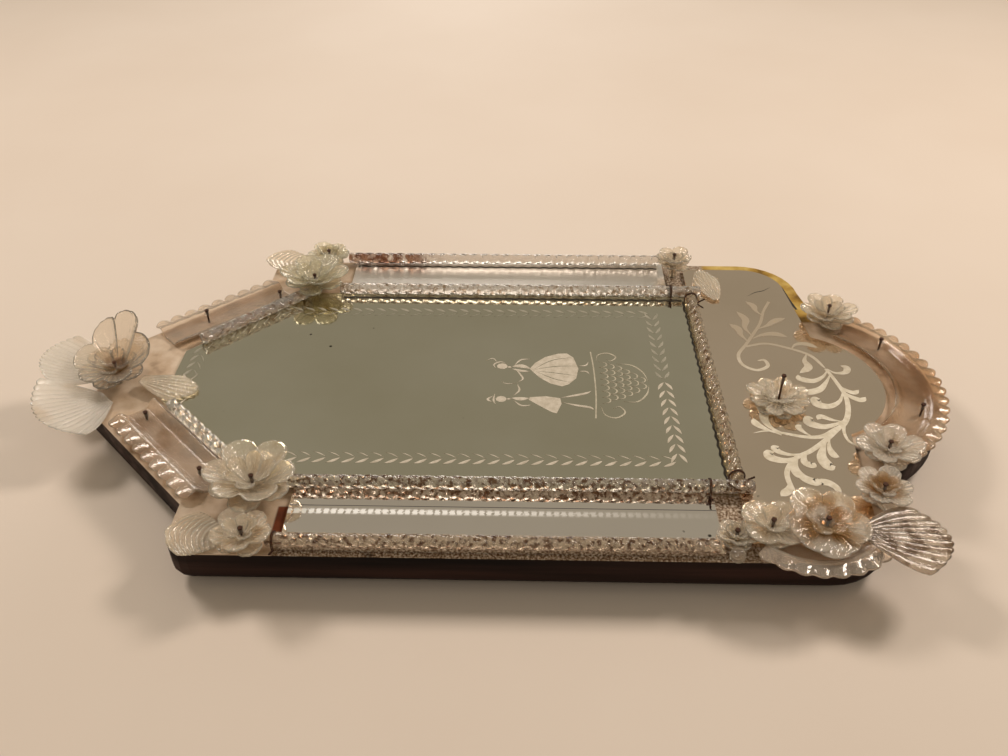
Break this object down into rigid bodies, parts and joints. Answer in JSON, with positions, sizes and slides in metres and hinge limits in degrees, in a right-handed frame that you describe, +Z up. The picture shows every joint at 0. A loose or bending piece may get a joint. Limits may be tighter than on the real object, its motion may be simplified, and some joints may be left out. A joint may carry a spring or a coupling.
{
  "type": "wall mirror",
  "caption": "Antique style wall mirror: plate mirrors on a wooden board, edged with twisted glass rods, crimped glass bands, glass flowers and fern leaves.",
  "frame": {"origin": "the board's flat back, on its centre line, just below the hanging plate", "axes": "+Z up the wall, the mirror looks along -Y, +X to the right of someone facing it"},
  "size_m": [0.4446, 0.083, 0.7907],
  "materials": {
    "board": "dark stained softwood with worn gilding at the front edge",
    "mirror": "old silvered plate glass, wheel engraved",
    "glass": "clear hand worked glass, stained brown in places",
    "pins": "rusty iron",
    "hanger": "zinc plated"
  },
  "bodies": {
    "root": {"backing_board": "board", "cross_bar_rod": "glass", "hanger_screw_1": "hanger", "hanger_screw_2": "hanger", "hanging_plate": "hanger", "left_bar_bud": "glass", "left_bar_bud_pin": "pins", "left_bead": "glass", "left_corner_leaf": "glass", "left_inner_rod": "glass", "left_junction_flower": "glass", "left_junction_flower_pin": "pins", "left_lower_fern": "glass", "left_lower_flower": "glass", "left_lower_flower_pin": "pins", "left_outer_rod": "glass", "left_shoulder_band": "glass", "left_shoulder_flower": "glass", "left_shoulder_flower_pin": "pins", "left_shoulder_petals": "glass", "left_shoulder_petals_pin": "pins", "left_side_strip": "mirror", "left_slanted_band": "glass", "left_slanted_band_pin_1": "pins", "left_slanted_band_pin_2": "pins", "left_slanted_rod": "glass", "left_upper_inner_flower": "glass", "left_upper_inner_flower_pin": "pins", "left_upper_outer_flower": "glass", "left_upper_outer_flower_pin": "pins", "lobe_band": "glass", "lobe_band_pin_1": "pins", "lobe_band_pin_2": "pins", "lower_mirror_plate": "mirror", "lower_rosette": "glass", "lower_rosette_pin": "pins", "main_mirror_plate": "mirror", "right_bar_flower": "glass", "right_bar_flower_pin": "pins", "right_corner_leaf": "glass", "right_inner_rod": "glass", "right_junction_flower": "glass", "right_junction_flower_pin": "pins", "right_outer_rod": "glass", "right_shell_petal": "glass", "right_side_strip": "mirror", "right_slanted_band": "glass", "right_slanted_band_pin_1": "pins", "right_slanted_band_pin_2": "pins", "right_slanted_rod": "glass", "right_upper_inner_flower": "glass", "right_upper_inner_flower_pin": "pins", "right_upper_outer_flower": "glass", "right_upper_outer_flower_pin": "pins", "top_bud_petal": "glass", "top_flower": "glass", "top_flower_pin": "pins", "top_left_fern": "glass", "top_middle_fern": "glass"}
  },
  "joints": []
}
